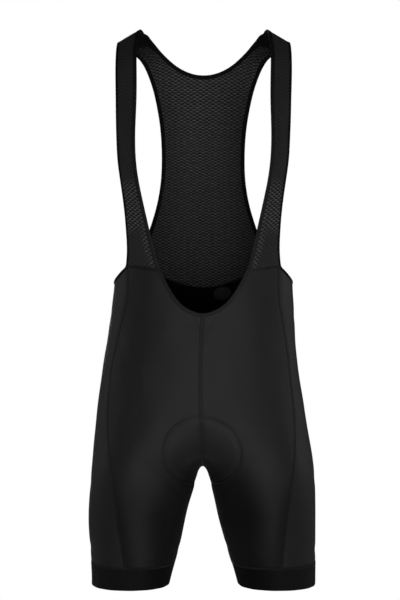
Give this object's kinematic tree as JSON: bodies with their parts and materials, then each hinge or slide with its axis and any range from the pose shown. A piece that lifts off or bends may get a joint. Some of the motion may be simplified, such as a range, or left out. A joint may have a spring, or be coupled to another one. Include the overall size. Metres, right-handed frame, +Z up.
{
  "type": "cycling bib shorts",
  "caption": "Close-fitting cycling shorts ending above the knee, with a knitted back panel, shoulder straps, leg grippers and a seat pad, hollow as worn.",
  "frame": {"origin": "midway between the two shoulder crowns of the straps, where the wearer's shoulders carry the shorts", "axes": "+X to the wearer's left, -Y to the front, +Z up"},
  "size_m": [0.3739, 0.2495, 0.9151],
  "materials": {
    "lycra": "warp-knitted black lycra with a soft sheen",
    "knit": "black open-look mesh knit in brick-laid cells",
    "trim": "matt black elastic binding",
    "gripper": "dense black elastic band",
    "pad": "brushed dark microfibre over foam",
    "label": "plain black heat-pressed film"
  },
  "bodies": {
    "root": {"front_left": "lycra", "front_right": "lycra", "side_left": "lycra", "side_right": "lycra", "back_left": "lycra", "back_right": "lycra", "bib_back": "knit", "strap_left": "knit", "strap_right": "knit", "front_neck_band": "trim", "back_neck_binding": "trim", "armhole_binding_left": "trim", "armhole_binding_right": "trim", "gripper_left": "gripper", "gripper_right": "gripper", "chamois": "pad", "label": "label"}
  },
  "joints": []
}
